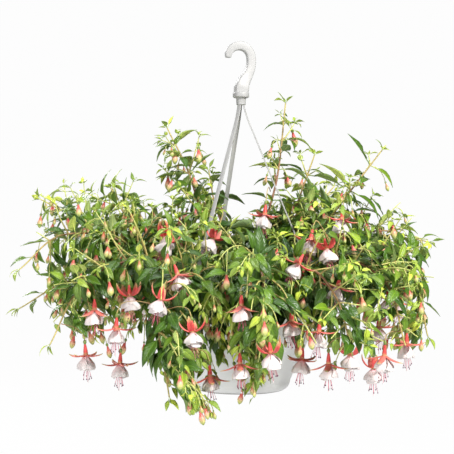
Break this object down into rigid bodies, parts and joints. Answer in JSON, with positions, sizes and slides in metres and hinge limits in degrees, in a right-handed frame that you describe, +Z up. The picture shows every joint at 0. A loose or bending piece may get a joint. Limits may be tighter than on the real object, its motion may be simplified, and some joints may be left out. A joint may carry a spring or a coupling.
{
  "type": "potted trailing fuchsia in a hanging bowl",
  "caption": "Trailing fuchsia with coral and white bell flowers in a pale plastic bowl, hung from a white hook by three flat straps.",
  "frame": {"origin": "seat of the hook: the lowest point of the inner side of the crook's top, where a rail bears", "axes": "+Z up along the hanger, -Y towards the side seen first, +X to its right"},
  "size_m": [0.6907, 0.617, 0.5398],
  "materials": {
    "white_plastic": "satin, moulded in one piece",
    "bowl_plastic": "smooth satin",
    "soil": "damp, crumbly potting soil",
    "leaf": "soft leaf sheen",
    "flower": "waxy petals"
  },
  "bodies": {
    "root": {"bowl": "bowl_plastic", "soil": "soil", "hanger": "white_plastic", "leafy_stem_01": "leaf", "leafy_stem_02": "leaf", "leafy_stem_03": "leaf", "leafy_stem_04": "leaf", "leafy_stem_05": "leaf", "leafy_stem_06": "leaf", "leafy_stem_07": "leaf", "leafy_stem_08": "leaf", "leafy_stem_09": "leaf", "leafy_stem_10": "leaf", "leafy_stem_11": "leaf", "leafy_stem_12": "leaf", "leafy_stem_13": "leaf", "leafy_stem_14": "leaf", "leafy_stem_15": "leaf", "leafy_stem_16": "leaf", "leafy_stem_17": "leaf", "leafy_stem_18": "leaf", "leafy_stem_19": "leaf", "leafy_stem_20": "leaf", "flower_01": "flower", "flower_02": "flower", "flower_03": "flower", "flower_04": "flower", "flower_05": "flower", "flower_06": "flower", "flower_07": "flower", "flower_08": "flower", "flower_09": "flower", "flower_10": "flower", "flower_11": "flower", "flower_12": "flower", "flower_13": "flower", "flower_14": "flower", "flower_15": "flower", "flower_16": "flower", "flower_17": "flower", "flower_18": "flower", "flower_19": "flower", "flower_20": "flower", "flower_21": "flower", "flower_22": "flower", "flower_23": "flower", "flower_24": "flower", "flower_25": "flower", "flower_26": "flower", "flower_27": "flower", "flower_28": "flower", "flower_29": "flower", "flower_30": "flower", "flower_31": "flower", "flower_32": "flower", "flower_33": "flower", "flower_34": "flower", "flower_35": "flower", "flower_36": "flower", "flower_37": "flower"}
  },
  "joints": []
}
